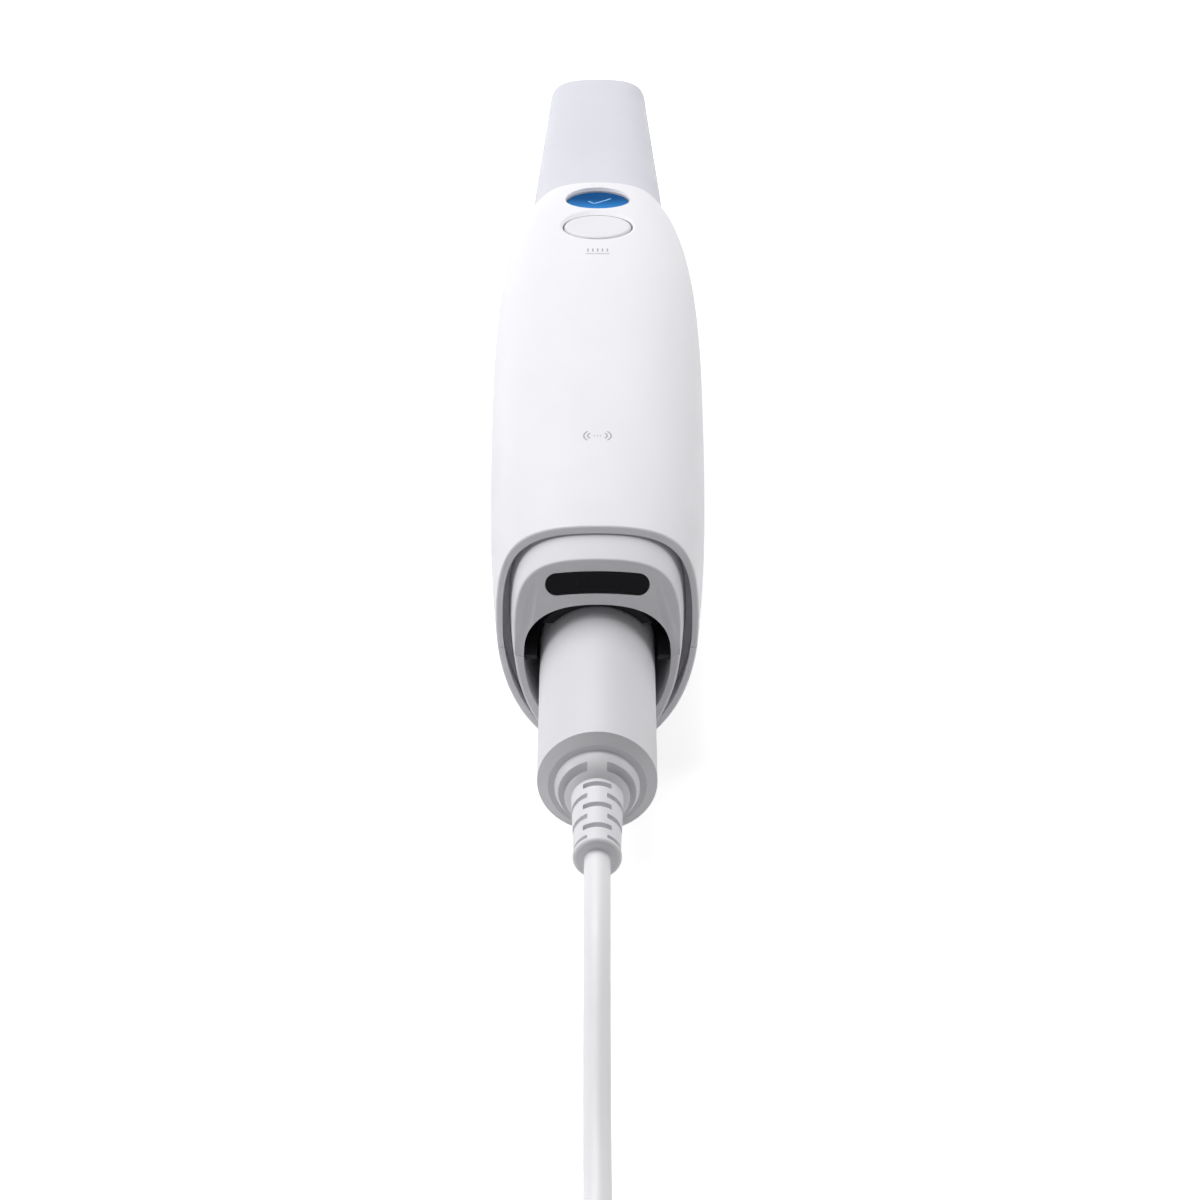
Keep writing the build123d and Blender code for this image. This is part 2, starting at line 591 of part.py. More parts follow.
relief = plug_plane.location * Cylinder(RELIEF_SPIGOT_DIAMETER / 2, RELIEF_SPIGOT_LENGTH, align=HANG)
relief += plug_plane.location * revolve(Plane.XZ * relief_profile(), Axis.Z)
for slot in range(SLOT_COUNT):
    relief -= relief_slot(SLOT_START + slot * SLOT_PITCH, slot % 2 == 0)
parts["strain_relief"] = relief

# Cable: out of the strain relief, down to the floor and into the coil.
CABLE_ROUTE = [
    (0.0, at(PLUG_REAR - RELIEF_LENGTH), PLUG_HEIGHT),
    (0.0, -191.0, PLUG_HEIGHT),
    (0.0, -206.5, 15.6),
    (0.0, -223.0, 10.8),
    (0.0, -240.0, 6.0),
    (0.2, -256.5, 3.4),
    (-1.8, -272.0, 2.9),
    (-8.2, -286.5, 2.9),
    (-15.4, -299.5, 3.1),
    (-18.6, -313.0, 3.2),
    (-18.7, -322.0, 3.2),
]
# The last turn climbs on to the top of the coil, where the host plug lies.
TAIL_ROUTE = [
    (-15.2, -308.5, 16.0),
    (-16.4, -319.9, 17.8),
    (-12.9, -330.8, 20.4),
    (-5.2, -339.3, 22.4),
    (5.3, -344.0, 23.1),
    (16.3, -344.0, 23.1),
]


def tube_along(points, diameter):
    """Round tube along straight runs joined by the largest tangent arcs that they allow."""
    route = [Vector(*point) for point in points]
    radii = []
    for before, here, after in zip(route, route[1:], route[2:]):
        turn = radians((here - before).get_angle(after - here))
        shorter = min((here - before).length, (after - here).length)
        radii.append(0.45 * shorter / tan(turn / 2))
    path = FilletPolyline(*route, radius=radii)
    start = Plane(origin=route[0], z_dir=route[1] - route[0])
    return sweep(start * Circle(diameter / 2), path=path)


parts["cable_run"] = tube_along(CABLE_ROUTE, CABLE_DIAMETER)
parts["cable_tail"] = tube_along(TAIL_ROUTE, CABLE_DIAMETER)
coil_radius = COIL_MID_DIAMETER / 2
coil_band = COIL_COLUMNS * CABLE_DIAMETER
coil_height = COIL_LAYERS * CABLE_DIAMETER
coil_place = Pos(*COIL_CENTRE, TIE_THICKNESS)
coil = Cylinder(coil_radius + coil_band / 2, coil_height, align=STAND)
coil -= Cylinder(coil_radius - coil_band / 2, coil_height, align=STAND)
parts["cable_coil"] = coil_place * coil
tie_gap = Box(coil_band + 2 * TIE_CLEARANCE, TIE_WIDTH, coil_height, align=STAND)
tie_loop = Box(coil_band + 2 * (TIE_CLEARANCE + TIE_THICKNESS), TIE_WIDTH, coil_height + 2 * TIE_THICKNESS,
               align=STAND)
tie = Pos(0, 0, -TIE_THICKNESS) * tie_loop - tie_gap
parts["coil_tie"] = coil_place * Pos(coil_radius, 0, 0) * tie

# Host plug at the cable's far end: a moulded body with a short relief and an oblong metal shell.
host_plane = Plane(origin=TAIL_ROUTE[-1], x_dir=(0, 1, 0), z_dir=(1, 0, 0))
host_face = HOST_RELIEF_LENGTH + HOST_BODY_LENGTH
host_relief = Cone(CABLE_DIAMETER / 2 + HOST_SHELL_WALL, HOST_RELIEF_DIAMETER / 2, HOST_RELIEF_LENGTH,
                   align=STAND)
host_section = RectangleRounded(HOST_BODY_WIDTH, HOST_BODY_THICKNESS, HOST_BODY_CORNER)
host_block = extrude(host_section, HOST_BODY_LENGTH)
host_block = fillet(host_block.edges().filter_by(Plane.XY), HOST_BODY_EDGE)
parts["host_plug"] = host_plane.location * (host_relief + Pos(0, 0, HOST_RELIEF_LENGTH) * host_block)
host_shell = extrude(SlotOverall(HOST_SHELL_WIDTH, HOST_SHELL_THICKNESS), HOST_SHELL_LENGTH)
host_mouth = SlotOverall(HOST_SHELL_WIDTH - 2 * HOST_SHELL_WALL, HOST_SHELL_THICKNESS - 2 * HOST_SHELL_WALL)
host_hollow = extrude(host_mouth, HOST_SHELL_LENGTH - HOST_SHELL_WALL)
host_shell -= Pos(0, 0, HOST_SHELL_WALL) * host_hollow
parts["host_shell"] = host_plane.location * Pos(0, 0, host_face) * host_shell

# Tip: a hollow sleeve with a window under its end and a mirror above the window.
sleeve = tip_body() & slab(HANDLE_LENGTH + TIP_JOINT_GAP, HANDLE_LENGTH + 2 * TIP_LENGTH)
end_plane = Plane(origin=(0, at(HANDLE_LENGTH + TIP_LENGTH), 0), x_dir=(1, 0, 0), z_dir=(0, 1, 0))
sleeve = fillet(edges_on(end_plane, sleeve, 0), TIP_END_ROUND)
light_path = tip_body(TIP_WALL) & behind(mirror_plane, -MIRROR_THICKNESS, REACH / 2)
window_place = Pos(0, at(HANDLE_LENGTH + TIP_LENGTH - WINDOW_REACH + WINDOW_LENGTH / 2), 0)
window = window_place * extrude(RectangleRounded(WINDOW_WIDTH, WINDOW_LENGTH, WINDOW_CORNER),
                                AXIS_HEIGHT - TIP_END_HEIGHT / 4)
parts["tip_sleeve"] = sleeve - light_path - window
parts["tip_mirror"] = tip_body(TIP_WALL + MIRROR_CLEARANCE) & behind(mirror_plane, -MIRROR_THICKNESS, 0)


# Nose: a barrel inside the tip, flanged inside the handle, with a glass at its front.
def nose_body(inset, end):
    """Solid of the nose out to a distance in front of the handle."""
    front = tip_body(inset) & slab(HANDLE_LENGTH, HANDLE_LENGTH + end)
    root = extrude(tip_section(*TIP_STATIONS[0], inset), NOSE_ROOT, dir=(0, -1, 0))
    return front + root


nose_inset = TIP_WALL + NOSE_CLEARANCE
bore_inset = nose_inset + NOSE_WALL
nose_rear = HANDLE_LENGTH - NOSE_ROOT
nose_flange = fitted_form & slab(nose_rear, nose_rear + NOSE_FLANGE)
gasket_front = HANDLE_LENGTH - NOSE_GASKET_SETBACK
glass_seat = tip_body(bore_inset - NOSE_GLASS_LEDGE)
glass_span = (HANDLE_LENGTH + NOSE_LENGTH - NOSE_GLASS_THICKNESS, HANDLE_LENGTH + NOSE_LENGTH)
nose = nose_body(nose_inset, NOSE_LENGTH) + nose_flange - nose_body(bore_inset, 2 * NOSE_LENGTH)
parts["nose_barrel"] = nose - (glass_seat & slab(glass_span[0], glass_span[1] + WALL))
parts["nose_glass"] = tip_body(bore_inset - NOSE_GLASS_LEDGE + FIT) & slab(*glass_span)
gasket_form = fitted_form - nose_body(nose_inset - FIT, NOSE_LENGTH)
parts["nose_gasket"] = gasket_form & slab(gasket_front - NOSE_GASKET, gasket_front)

# Button board on posts under the crown, with a switch under each stem.
board_front = SCAN_OFFSET + SWITCH_SIZE / 2 + BUTTON_BOARD_MARGIN
board_rear = POST_REAR - POST_DIAMETER / 2 - BUTTON_BOARD_MARGIN
board_middle = under_crown(0, (board_front + board_rear) / 2, BUTTON_BOARD_DEPTH)
board_length = board_front - board_rear
parts["button_board"] = board_middle * Box(BUTTON_BOARD_WIDTH, board_length, BOARD_THICKNESS, align=HANG)
switches = []
for offset in (CONTROL_OFFSET, SCAN_OFFSET):
    foot = under_crown(0, offset, BUTTON_BOARD_DEPTH)
    plunger = Pos(0, 0, SWITCH_HEIGHT) * Cylinder(PLUNGER_DIAMETER / 2, PLUNGER_HEIGHT, align=STAND)
    switches.append(foot * (Box(SWITCH_SIZE, SWITCH_SIZE, SWITCH_HEIGHT, align=STAND) + plunger))
parts["button_switches"] = Compound(children=switches)

# Chassis tray on four bosses, with standoffs for the main board.
tray_top = TRAY_LEVEL + TRAY_THICKNESS
tray_span = (TRAY_REAR, block_front + TRAY_MARGIN)
tray = block((-TRAY_WIDTH / 2, TRAY_WIDTH / 2), tray_span, (TRAY_LEVEL, tray_top))
flange_span = (TRAY_REAR + TRAY_FLANGE_INSET, block_rear - TRAY_FLANGE_CLEARANCE)
for side in (-1, 1):
    edge_x = side * (TRAY_WIDTH - TRAY_FLANGE_THICKNESS) / 2
    tray += block((edge_x - TRAY_FLANGE_THICKNESS / 2, edge_x + TRAY_FLANGE_THICKNESS / 2), flange_span,
                  (tray_top, tray_top + TRAY_FLANGE_HEIGHT))
board_level = tray_top + STANDOFF_HEIGHT
board_span = (TRAY_REAR + MAIN_BOARD_INSET, block_rear - MAIN_BOARD_CLEARANCE)
board_corners = [(side * (MAIN_BOARD_WIDTH / 2 - STANDOFF_INSET), s)
                 for s in (board_span[0] + STANDOFF_INSET, board_span[1] - STANDOFF_INSET)
                 for side in (-1, 1)]
main_board = block((-MAIN_BOARD_WIDTH / 2, MAIN_BOARD_WIDTH / 2), board_span,
                   (board_level, board_level + BOARD_THICKNESS))
screw_hole = SCREW_DIAMETER + 2 * SCREW_CLEARANCE


def screw(x, s, seat, depth):
    """Pan-head screw that goes down from its seat."""
    return post(x, s, seat - depth, seat, SCREW_DIAMETER) + post(x, s, seat, seat + SCREW_HEAD_HEIGHT,
                                                                 SCREW_HEAD_DIAMETER)


chassis_screws = []
for x, s in boss_places:
    tray -= post(x, s, TRAY_LEVEL, tray_top, screw_hole)
    chassis_screws.append(screw(x, s, tray_top, TRAY_THICKNESS + SCREW_DEPTH - WALL))
board_screws = []
for x, s in board_corners:
    tray += post(x, s, tray_top, board_level, STANDOFF_DIAMETER)
    tray -= post(x, s, TRAY_LEVEL, board_level, screw_hole)
    main_board -= post(x, s, board_level, board_level + BOARD_THICKNESS, screw_hole)
    board_screws.append(screw(x, s, board_level + BOARD_THICKNESS, BOARD_THICKNESS + STANDOFF_HEIGHT))
parts["chassis_tray"] = tray
parts["chassis_screws"] = Compound(children=chassis_screws)
parts["main_board"] = main_board
parts["board_screws"] = Compound(children=board_screws)

# Processor, its pad and its finned heat sink.
chip_base = board_level + BOARD_THICKNESS
board_middle_s = sum(board_span) / 2
half_chip = PROCESSOR_SIZE / 2
chip_span = (board_middle_s - half_chip, board_middle_s + half_chip)
parts["processor"] = block((-half_chip, half_chip), chip_span, (chip_base, chip_base + CHIP_HEIGHT))
pad_base = chip_base + CHIP_HEIGHT
sink_base = pad_base + THERMAL_PAD_THICKNESS
parts["thermal_pad"] = block((-half_chip, half_chip), chip_span, (pad_base, sink_base))
sink_span = (board_span[0] + HEAT_SINK_MARGIN, board_span[1] - HEAT_SINK_MARGIN)
fin_base = sink_base + HEAT_SINK_BASE
sink = block((-HEAT_SINK_WIDTH / 2, HEAT_SINK_WIDTH / 2), sink_span, (sink_base, fin_base))
fin_pitch = (HEAT_SINK_WIDTH - FIN_THICKNESS) / (FIN_COUNT - 1)
for fin in range(FIN_COUNT):
    fin_x = -HEAT_SINK_WIDTH / 2 + fin * fin_pitch
    sink += block((fin_x, fin_x + FIN_THICKNESS), sink_span, (fin_base, fin_base + FIN_HEIGHT))
parts["heat_sink"] = sink

# Optics: a block on the tray holds the projector between two cameras.
lens_block = block((-LENS_BLOCK_WIDTH / 2, LENS_BLOCK_WIDTH / 2), (block_rear, block_front),
                   (tray_top, LENS_BLOCK_TOP))
lens_block -= lengthwise(0, AXIS_HEIGHT, block_rear, block_front, PROJECTOR_DIAMETER)
camera_places = (-CAMERA_OFFSET, CAMERA_OFFSET)
for x in camera_places:
    lens_block -= lengthwise(x, AXIS_HEIGHT, block_rear, block_front, CAMERA_DIAMETER)
parts["lens_block"] = lens_block & handle_body(WALL + BARREL_WALL)


def barrel(x, span, diameter):
    """Lens barrel, bored right through."""
    outer = diameter - 2 * FIT
    bore = lengthwise(x, AXIS_HEIGHT, *span, outer - 2 * BARREL_WALL)
    return lengthwise(x, AXIS_HEIGHT, *span, outer) - bore


def lens(x, span, diameter):
    """Convex lens in the front of a barrel."""
    radius = diameter / 2 - FIT - BARREL_WALL - LENS_CLEARANCE
    disc = lengthwise(x, AXIS_HEIGHT, span[1] - LENS_THICKNESS, span[1], 2 * radius)
    front = Plane(origin=(0, at(span[1]), 0), x_dir=(1, 0, 0), z_dir=(0, 1, 0))
    return fillet(edges_on(front, disc, 0), LENS_THICKNESS / 3)


projector_span = (block_rear - PROJECTOR_TAIL, block_front + PROJECTOR_NOSE)
camera_span = (block_rear - CAMERA_TAIL, block_front + CAMERA_NOSE)
parts["projector_barrel"] = barrel(0, projector_span, PROJECTOR_DIAMETER)
parts["projector_lens"] = lens(0, projector_span, PROJECTOR_DIAMETER)
parts["camera_barrels"] = Compound(children=[barrel(x, camera_span, CAMERA_DIAMETER) for x in camera_places])
parts["camera_lenses"] = Compound(children=[lens(x, camera_span, CAMERA_DIAMETER) for x in camera_places])
light_face = projector_span[0]
half_light = LIGHT_BOARD_SIZE / 2
parts["light_board"] = block((-half_light, half_light), (light_face - BOARD_THICKNESS, light_face),
                             (AXIS_HEIGHT - half_light, AXIS_HEIGHT + half_light))
half_source = LIGHT_SOURCE_SIZE / 2
parts["light_source"] = block((-half_source, half_source), (light_face, light_face + CHIP_HEIGHT),
                              (AXIS_HEIGHT - half_source, AXIS_HEIGHT + half_source))
camera_face = camera_span[0]
half_board = CAMERA_BOARD_WIDTH / 2
camera_board_height = (AXIS_HEIGHT - CAMERA_BOARD_HEIGHT / 2, AXIS_HEIGHT + CAMERA_BOARD_HEIGHT / 2)
parts["camera_boards"] = Compound(children=[
    block((x - half_board, x + half_board), (camera_face - BOARD_THICKNESS, camera_face), camera_board_height)
    for x in camera_places])

os.makedirs("parts", exist_ok=True)
for name, shape in parts.items():
    export_step(shape, "parts/" + name + ".step")
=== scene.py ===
"""Intraoral scanner in a pale studio.

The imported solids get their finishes, the handle its printed signs and the cable its real length.
"""

import functools
import logging
import math
from dataclasses import dataclass
from enum import Enum
from typing import Sequence

import bmesh
import bpy
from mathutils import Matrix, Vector
from mathutils.bvhtree import BVHTree


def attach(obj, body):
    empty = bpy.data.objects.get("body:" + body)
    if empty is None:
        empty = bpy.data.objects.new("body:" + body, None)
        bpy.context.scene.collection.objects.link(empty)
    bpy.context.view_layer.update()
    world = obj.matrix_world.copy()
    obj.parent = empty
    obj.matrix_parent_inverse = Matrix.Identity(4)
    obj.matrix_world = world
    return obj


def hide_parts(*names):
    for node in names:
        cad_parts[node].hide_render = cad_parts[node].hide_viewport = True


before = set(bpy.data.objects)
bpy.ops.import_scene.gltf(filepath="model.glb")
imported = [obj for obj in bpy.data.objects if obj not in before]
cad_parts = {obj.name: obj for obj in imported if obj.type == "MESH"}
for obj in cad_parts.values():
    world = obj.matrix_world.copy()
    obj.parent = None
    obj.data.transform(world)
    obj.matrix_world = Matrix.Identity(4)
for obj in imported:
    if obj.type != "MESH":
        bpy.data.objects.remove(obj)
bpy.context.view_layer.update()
LOG = logging.getLogger("scanner")
MM = 0.001
Colour = tuple[float, float, float]
Place = tuple[float, float, float]
Socket = bpy.types.NodeSocket


class Body(Enum):
    """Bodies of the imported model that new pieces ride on."""

    HANDLE = "handle"
    SCAN_KEY = "scan_key"
    CABLE = "cable"


class Grain(Enum):
    """Surface structures, each the name of a shared shader group."""

    MOULDED = "moulded_skin"
    BRUSHED = "brushed_lines"
    WOVEN = "woven_tape"
    # Painted shade: the scan button's blue darkens towards its far edge.
    PAINTED_SHADE = "lacquer_with_painted_shade"


@dataclass(frozen=True)
class Noise:
    """One noise of a surface structure, over the object's own coordinates.

    Attributes:
        detail: Octaves of finer noise.
        cells: Cells per metre, or None where the finish gives them.
        stretch: Factors on the object's axes.
        low: The value that is spread to 0.
        high: The value that is spread to 1.
    """

    detail: float
    cells: float | None = None
    stretch: Place = (1.0, 1.0, 1.0)
    low: float = 0.0
    high: float = 1.0


SPARK = Noise(2.0)
FLOW = Noise(3.0, 38.0, (1.6, 0.5, 1.0), 0.38, 0.66)
HANDLING = Noise(4.0, 170.0, low=0.35, high=0.65)
LINES = Noise(3.0, stretch=(1.0, 0.04, 1.0), low=0.35, high=0.7)
PATCHES = Noise(3.0, 90.0, low=0.35, high=0.65)
FUZZ = Noise(2.0, 900.0)
FLOW_SHARE = 0.7
WEAVE_DISTORTION = 1.5
EVEN_SHARE = 0.5
# Where the painted shade on the button starts to darken its blue and where it is darkest, as shares of its
# length.
PAINTED_DARKENING_RANGE = (0.15, 0.72)


class GroupBuilder:
    """Builds the shader groups that the finishes share."""

    INPUTS = {
        "Base": "NodeSocketColor",
        "Shade": "NodeSocketColor",
        "Scale": "NodeSocketFloat",
        "Gloss": "NodeSocketFloat",
        "Spread": "NodeSocketFloat",
    }
    OUTPUTS = {
        "Colour": "NodeSocketColor",
        "Roughness": "NodeSocketFloat",
        "Height": "NodeSocketFloat",
    }

    def __init__(self, grain: Grain) -> None:
        """Start a group with the sockets that every surface structure has.

        Args:
            grain: The structure that the group draws.
        """
        self.tree = bpy.data.node_groups.new(grain.value, "ShaderNodeTree")
        for way, sockets in (("INPUT", self.INPUTS), ("OUTPUT", self.OUTPUTS)):
            for name, kind in sockets.items():
                self.tree.interface.new_socket(name, in_out=way, socket_type=kind)
        self.inside = self.tree.nodes.new("NodeGroupInput")
        self.outside = self.tree.nodes.new("NodeGroupOutput")
        self.place = self.tree.nodes.new("ShaderNodeTexCoord").outputs["Object"]

    def join(self, source: Socket, target: Socket) -> None:
        """Link two sockets of the group."""
        self.tree.links.new(source, target)

    def noise(self, kind: Noise) -> Socket:
        """Add a noise texture.

        Args:
            kind: The noise.

        Returns:
            The noise's plain value.
        """
        mapping = self.tree.nodes.new("ShaderNodeMapping")
        mapping.inputs["Scale"].default_value = kind.stretch
        texture = self.tree.nodes.new("ShaderNodeTexNoise")
        texture.inputs["Detail"].default_value = kind.detail
        self.join(self.place, mapping.inputs["Vector"])
        self.join(mapping.outputs["Vector"], texture.inputs["Vector"])
        if kind.cells is None:
            self.join(self.inside.outputs["Scale"], texture.inputs["Scale"])
        else:
            texture.inputs["Scale"].default_value = kind.cells
        return texture.outputs["Fac"]

    def maths(self, operation: str, first: Socket, second: Socket | float) -> Socket:
        """Add a maths node.

        Args:
            operation: Blender's name for the operation.
            first: First operand.
            second: Second operand, a socket or a number.

        Returns:
            The result.
        """
        node = self.tree.nodes.new("ShaderNodeMath")
        node.operation = operation
        self.join(first, node.inputs[0])
        if isinstance(second, float):
            node.inputs[1].default_value = second
        else:
            self.join(second, node.inputs[1])
        return node.outputs[0]

    def stretch_range(self, value: Socket, low: float, high: float) -> Socket:
        """Stretch a part of a value's range to the range from 0 to 1.

        Args:
            value: The value.
            low: What becomes 0.
            high: What becomes 1.

        Returns:
            The stretched value.
        """
        node = self.tree.nodes.new("ShaderNodeMapRange")
        node.inputs["From Min"].default_value = low
        node.inputs["From Max"].default_value = high
        self.join(value, node.inputs["Value"])
        return node.outputs["Result"]

    def spread_noise(self, kind: Noise) -> Socket:
        """Add a noise that is spread from 0 to 1."""
        return self.stretch_range(self.noise(kind), kind.low, kind.high)

    def blend(self, share: Socket) -> None:
        """Put out the mix of the Base and Shade colours.

        Args:
            share: How much of the Shade colour shows.
        """
        mix = self.tree.nodes.new("ShaderNodeMix")
        mix.data_type = "RGBA"
        self.join(share, mix.inputs["Factor"])
        self.join(self.inside.outputs["Base"], mix.inputs["A"])
        self.join(self.inside.outputs["Shade"], mix.inputs["B"])
        self.join(mix.outputs["Result"], self.outside.inputs["Colour"])

    def roughen(self, share: Socket) -> None:
        """Put out the Gloss value, made rougher or smoother.

        Args:
            share: From 0 for the smoothest to 1 for the roughest.
        """
        change = self.maths("SUBTRACT", share, EVEN_SHARE)
        change = self.maths("MULTIPLY", change, self.inside.outputs["Spread"])
        roughness = self.maths("ADD", change, self.inside.outputs["Gloss"])
        self.join(roughness, self.outside.inputs["Roughness"])

    def raise_by(self, height: Socket) -> None:
        """Put out the height for a bump."""
        self.join(height, self.outside.inputs["Height"])


def moulded_group() -> None:
    """Build the skin of a moulded plastic: spark texture, faint flow shading and handling marks."""
    group = GroupBuilder(Grain.MOULDED)
    group.blend(group.maths("MULTIPLY", group.spread_noise(FLOW), FLOW_SHARE))
    group.roughen(group.spread_noise(HANDLING))
    group.raise_by(group.noise(SPARK))


def brushed_group() -> None:
    """Build worked metal: fine lines along the part and patchy gloss."""
    group = GroupBuilder(Grain.BRUSHED)
    lines = group.noise(LINES)
    group.blend(group.stretch_range(lines, LINES.low, LINES.high))
    group.roughen(group.spread_noise(PATCHES))
    group.raise_by(lines)


def woven_group() -> None:
    """Build woven tape: crossing threads with a fuzzy gloss."""
    group = GroupBuilder(Grain.WOVEN)
    waves = []
    for axis in ("X", "Y"):
        wave = group.tree.nodes.new("ShaderNodeTexWave")
        wave.bands_direction = axis
        wave.inputs["Distortion"].default_value = WEAVE_DISTORTION
        group.join(group.place, wave.inputs["Vector"])
        group.join(group.inside.outputs["Scale"], wave.inputs["Scale"])
        waves.append(wave.outputs["Fac"])
    weave = group.maths("MULTIPLY", *waves)
    group.blend(weave)
    group.roughen(group.noise(FUZZ))
    group.raise_by(weave)


def painted_shade_group() -> None:
    """Build the button's lacquer with painted shade, which darkens it from its near edge to its far edge.
    """
    group = GroupBuilder(Grain.PAINTED_SHADE)
    extent = group.tree.nodes.new("ShaderNodeTexCoord").outputs["Generated"]
    split = group.tree.nodes.new("ShaderNodeSeparateXYZ")
    group.join(extent, split.inputs["Vector"])
    # Painted shade: the Shade colour takes over along the button's length, towards its far edge.
    group.blend(group.stretch_range(split.outputs["Y"], *PAINTED_DARKENING_RANGE))
    group.roughen(group.spread_noise(HANDLING))
    group.raise_by(group.noise(SPARK))


@dataclass(frozen=True)
class Finish:
    """One material: its colours, its gloss and its surface structure."""

    name: str
    base: Colour
    shade: Colour
    roughness: float
    grain: Grain = Grain.MOULDED
    scale: float = 3200.0
    spread: float = 0.10
    relief_mm: float = 0.008
    relief_strength: float = 0.25
    metallic: float = 0.0
    coat: float = 0.0
    coat_roughness: float = 0.12
    transmission: float = 0.0
    refraction: float = 1.5
    sheen: float = 0.0
    specular: float = 0.5

    @functools.cache
    def material(self) -> bpy.types.Material:
        """Build the material, once for each finish.

        Returns:
            A node material with its shader's constants on the shader itself.
        """
        material = bpy.data.materials.new(self.name)
        material.use_nodes = True
        tree = material.node_tree
        shader = tree.nodes["Principled BSDF"]
        shader_values = {
            "Metallic": self.metallic,
            "IOR": self.refraction,
            "Transmission Weight": self.transmission,
            "Coat Weight": self.coat,
            "Coat Roughness": self.coat_roughness,
            "Sheen Weight": self.sheen,
            "Specular IOR Level": self.specular,
        }
        for name, value in shader_values.items():
            shader.inputs[name].default_value = value
        group = tree.nodes.new("ShaderNodeGroup")
        group.node_tree = bpy.data.node_groups[self.grain.value]
        group_values = {
            "Base": (*self.base, 1.0),
            "Shade": (*self.shade, 1.0),
            "Scale": self.scale,
            "Gloss": self.roughness,
            "Spread": self.spread,
        }
        for name, value in group_values.items():
            group.inputs[name].default_value = value
        bump = tree.nodes.new("ShaderNodeBump")
        bump.inputs["Distance"].default_value = self.relief_mm * MM
        bump.inputs["Strength"].default_value = self.relief_strength
        tree.links.new(group.outputs["Colour"], shader.inputs["Base Color"])
        tree.links.new(group.outputs["Roughness"], shader.inputs["Roughness"])
        tree.links.new(group.outputs["Height"], bump.inputs["Height"])
        tree.links.new(bump.outputs["Normal"], shader.inputs["Normal"])
        return material


# Plastics and rubbers outside
SHELL = Finish("shell_skin", (0.885, 0.877, 0.914), (0.850, 0.842, 0.880), 0.52, specular=0.35)
BEZEL = Finish("bezel_skin", (0.815, 0.808, 0.843), (0.780, 0.773, 0.808), 0.50,
               scale=3600.0, specular=0.35)
TIP = Finish("tip_skin", (0.700, 0.703, 0.765), (0.668, 0.671, 0.733), 0.50, scale=2800.0, specular=0.4)
# The scan button's Shade colour is painted shade, the dark of its far part.
SCAN_BLUE = Finish("scan_blue", (0.036, 0.290, 0.760), (0.0002, 0.070, 0.235), 0.50, Grain.PAINTED_SHADE,
                   relief_strength=0.1, specular=0.03)
CONTROL_WHITE = Finish("control_white", (0.820, 0.812, 0.848), (0.79, 0.782, 0.818), 0.45, specular=0.35)
WINDOW = Finish("window_smoked", (0.004, 0.004, 0.006), (0.006, 0.006, 0.008), 0.24,
                relief_strength=0.05, specular=0.10)
SOCKET = Finish("socket_skin", (0.012, 0.012, 0.014), (0.018, 0.018, 0.020), 0.55,
                scale=2400.0, relief_strength=0.4, specular=0.25)
SEAL = Finish("seal_rubber", (0.66, 0.653, 0.69), (0.62, 0.613, 0.65), 0.62,
              scale=1800.0, relief_strength=0.4)
PLUG = Finish("plug_skin", (0.745, 0.738, 0.770), (0.715, 0.708, 0.740), 0.50, scale=3400.0, specular=0.35)
RELIEF = Finish("relief_rubber", (0.82, 0.813, 0.845), (0.775, 0.768, 0.80), 0.50,
                scale=2200.0, relief_strength=0.35)
CABLE = Finish("cable_jacket", (0.90, 0.893, 0.92), (0.87, 0.863, 0.89), 0.46,
               scale=2600.0, relief_strength=0.3)
TIE = Finish("tie_tape", (0.040, 0.040, 0.044), (0.014, 0.014, 0.016), 0.85, Grain.WOVEN, 900.0,
             relief_mm=0.12, relief_strength=0.8, sheen=0.3)

# Metals
STEEL = Finish("plug_steel", (0.62, 0.63, 0.64), (0.52, 0.53, 0.54), 0.28, Grain.BRUSHED, 5200.0,
               metallic=1.0)
SCREW = Finish("screw_turned", (0.54, 0.55, 0.56), (0.44, 0.45, 0.46), 0.34, Grain.BRUSHED, 4200.0,
               metallic=1.0)
ALLOY = Finish("chassis_alloy", (0.66, 0.67, 0.69), (0.58, 0.59, 0.61), 0.40, Grain.BRUSHED, 3000.0,
               metallic=1.0)
GILT = Finish("contact_gilt", (0.86, 0.62, 0.24), (0.78, 0.54, 0.18), 0.24, Grain.BRUSHED, 5000.0,
              metallic=1.0)
MIRROR = Finish("mirror_silver", (0.92, 0.93, 0.94), (0.90, 0.91, 0.92), 0.04, Grain.BRUSHED, 900.0,
                spread=0.03, relief_strength=0.02, metallic=1.0)

# Electronics and optics
BOARD = Finish("board_lacquer", (0.014, 0.150, 0.060), (0.010, 0.110, 0.045), 0.38, scale=1500.0, coat=0.2)
CHIP = Finish("chip_epoxy", (0.020, 0.020, 0.022), (0.030, 0.030, 0.032), 0.55, scale=2600.0)
LAMP = Finish("lamp_phosphor", (0.86, 0.68, 0.14), (0.80, 0.60, 0.10), 0.35, scale=2600.0)
BARREL = Finish("barrel_skin", (0.024, 0.024, 0.027), (0.034, 0.034, 0.037), 0.48, scale=3000.0)
LENS = Finish("lens_pane", (0.94, 0.97, 0.98), (0.90, 0.95, 0.97), 0.05, spread=0.03,
              relief_strength=0.02, transmission=1.0, refraction=1.52, coat=0.6)

# Print
PRINT_GREY = Finish("print_grey", (0.42, 0.42, 0.45), (0.38, 0.38, 0.41), 0.50)
PRINT_PALE = Finish("print_pale", (0.20, 0.52, 0.95), (0.17, 0.47, 0.90), 0.40)

